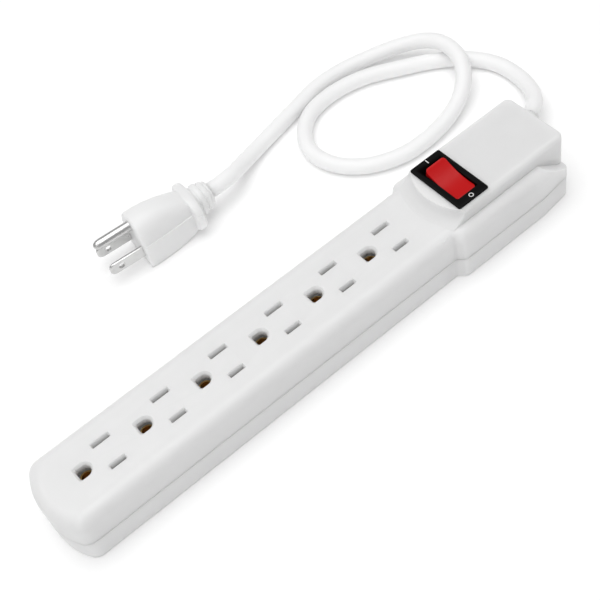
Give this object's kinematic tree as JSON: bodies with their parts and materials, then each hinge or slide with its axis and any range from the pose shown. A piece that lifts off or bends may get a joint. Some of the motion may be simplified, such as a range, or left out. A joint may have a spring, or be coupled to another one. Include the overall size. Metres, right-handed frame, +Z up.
{
  "type": "power strip",
  "caption": "Slim white mains power strip: a row of grounded outlets, a red rocker switch in a raised head, and a short cord ending in a three-pin plug.",
  "frame": {"origin": "centre of the underside of the housing", "axes": "+X along the strip toward the switch and cord end, +Z up out of the outlet face, +Y toward the neutral slots and the free cord"},
  "size_m": [0.2965, 0.1378, 0.0378],
  "materials": {
    "white_plastic": "satin moulded",
    "black_plastic": "satin moulded",
    "red_plastic": "translucent, semi-gloss",
    "brass": "stamped",
    "nickel": "nickel-plated brass",
    "zinc_steel": "zinc plated",
    "white_pvc": "matt flexible PVC",
    "black_pvc": "matt flexible PVC",
    "green_pvc": "matt flexible PVC",
    "lamp_glass": "clear glass, neon filled",
    "resistor_body": "lacquered"
  },
  "bodies": {
    "housing": {"top_cover": "white_plastic", "bottom_cover": "white_plastic", "hot_bus_bar": "brass", "neutral_bus_bar": "brass", "ground_bus_bar": "brass", "switch_housing": "black_plastic", "line_terminal": "brass", "load_terminal": "brass", "lamp_terminal": "brass", "cord_grip": "white_pvc", "cord_stub": "white_pvc", "line_wire": "black_pvc", "neutral_wire": "white_pvc", "ground_wire": "green_pvc", "load_wire": "black_pvc", "lamp_wire": "white_pvc", "power_cord": "white_pvc", "plug_body": "white_pvc", "plug_blade_hot": "nickel", "plug_blade_neutral": "nickel", "plug_ground_pin": "nickel", "cover_screw_1": "zinc_steel", "cover_screw_2": "zinc_steel", "cover_screw_3": "zinc_steel", "cover_screw_4": "zinc_steel", "cover_screw_5": "zinc_steel", "cover_screw_6": "zinc_steel"},
    "rocker": {"switch_rocker": "red_plastic", "switch_plunger": "black_plastic", "plunger_spring": "zinc_steel", "pilot_lamp": "lamp_glass", "lamp_resistor": "resistor_body"},
    "lever": {"contact_lever": "brass"}
  },
  "joints": [
    {"name": "rocker_tilt", "type": "hinge", "parent": "housing", "child": "rocker", "pos_m": [0.0795, 0, 0.03], "axis": [-1, 0, 0], "range_deg": [0, 21]},
    {"name": "lever_rock", "type": "hinge", "parent": "housing", "child": "lever", "pos_m": [0.0795, 0, 0.0212], "axis": [1, 0, 0], "range_deg": [0, 16.5]}
  ],
  "couplings": [
    {"joint": "lever_rock", "follows": "rocker_tilt", "ratio": 0.7619}
  ]
}
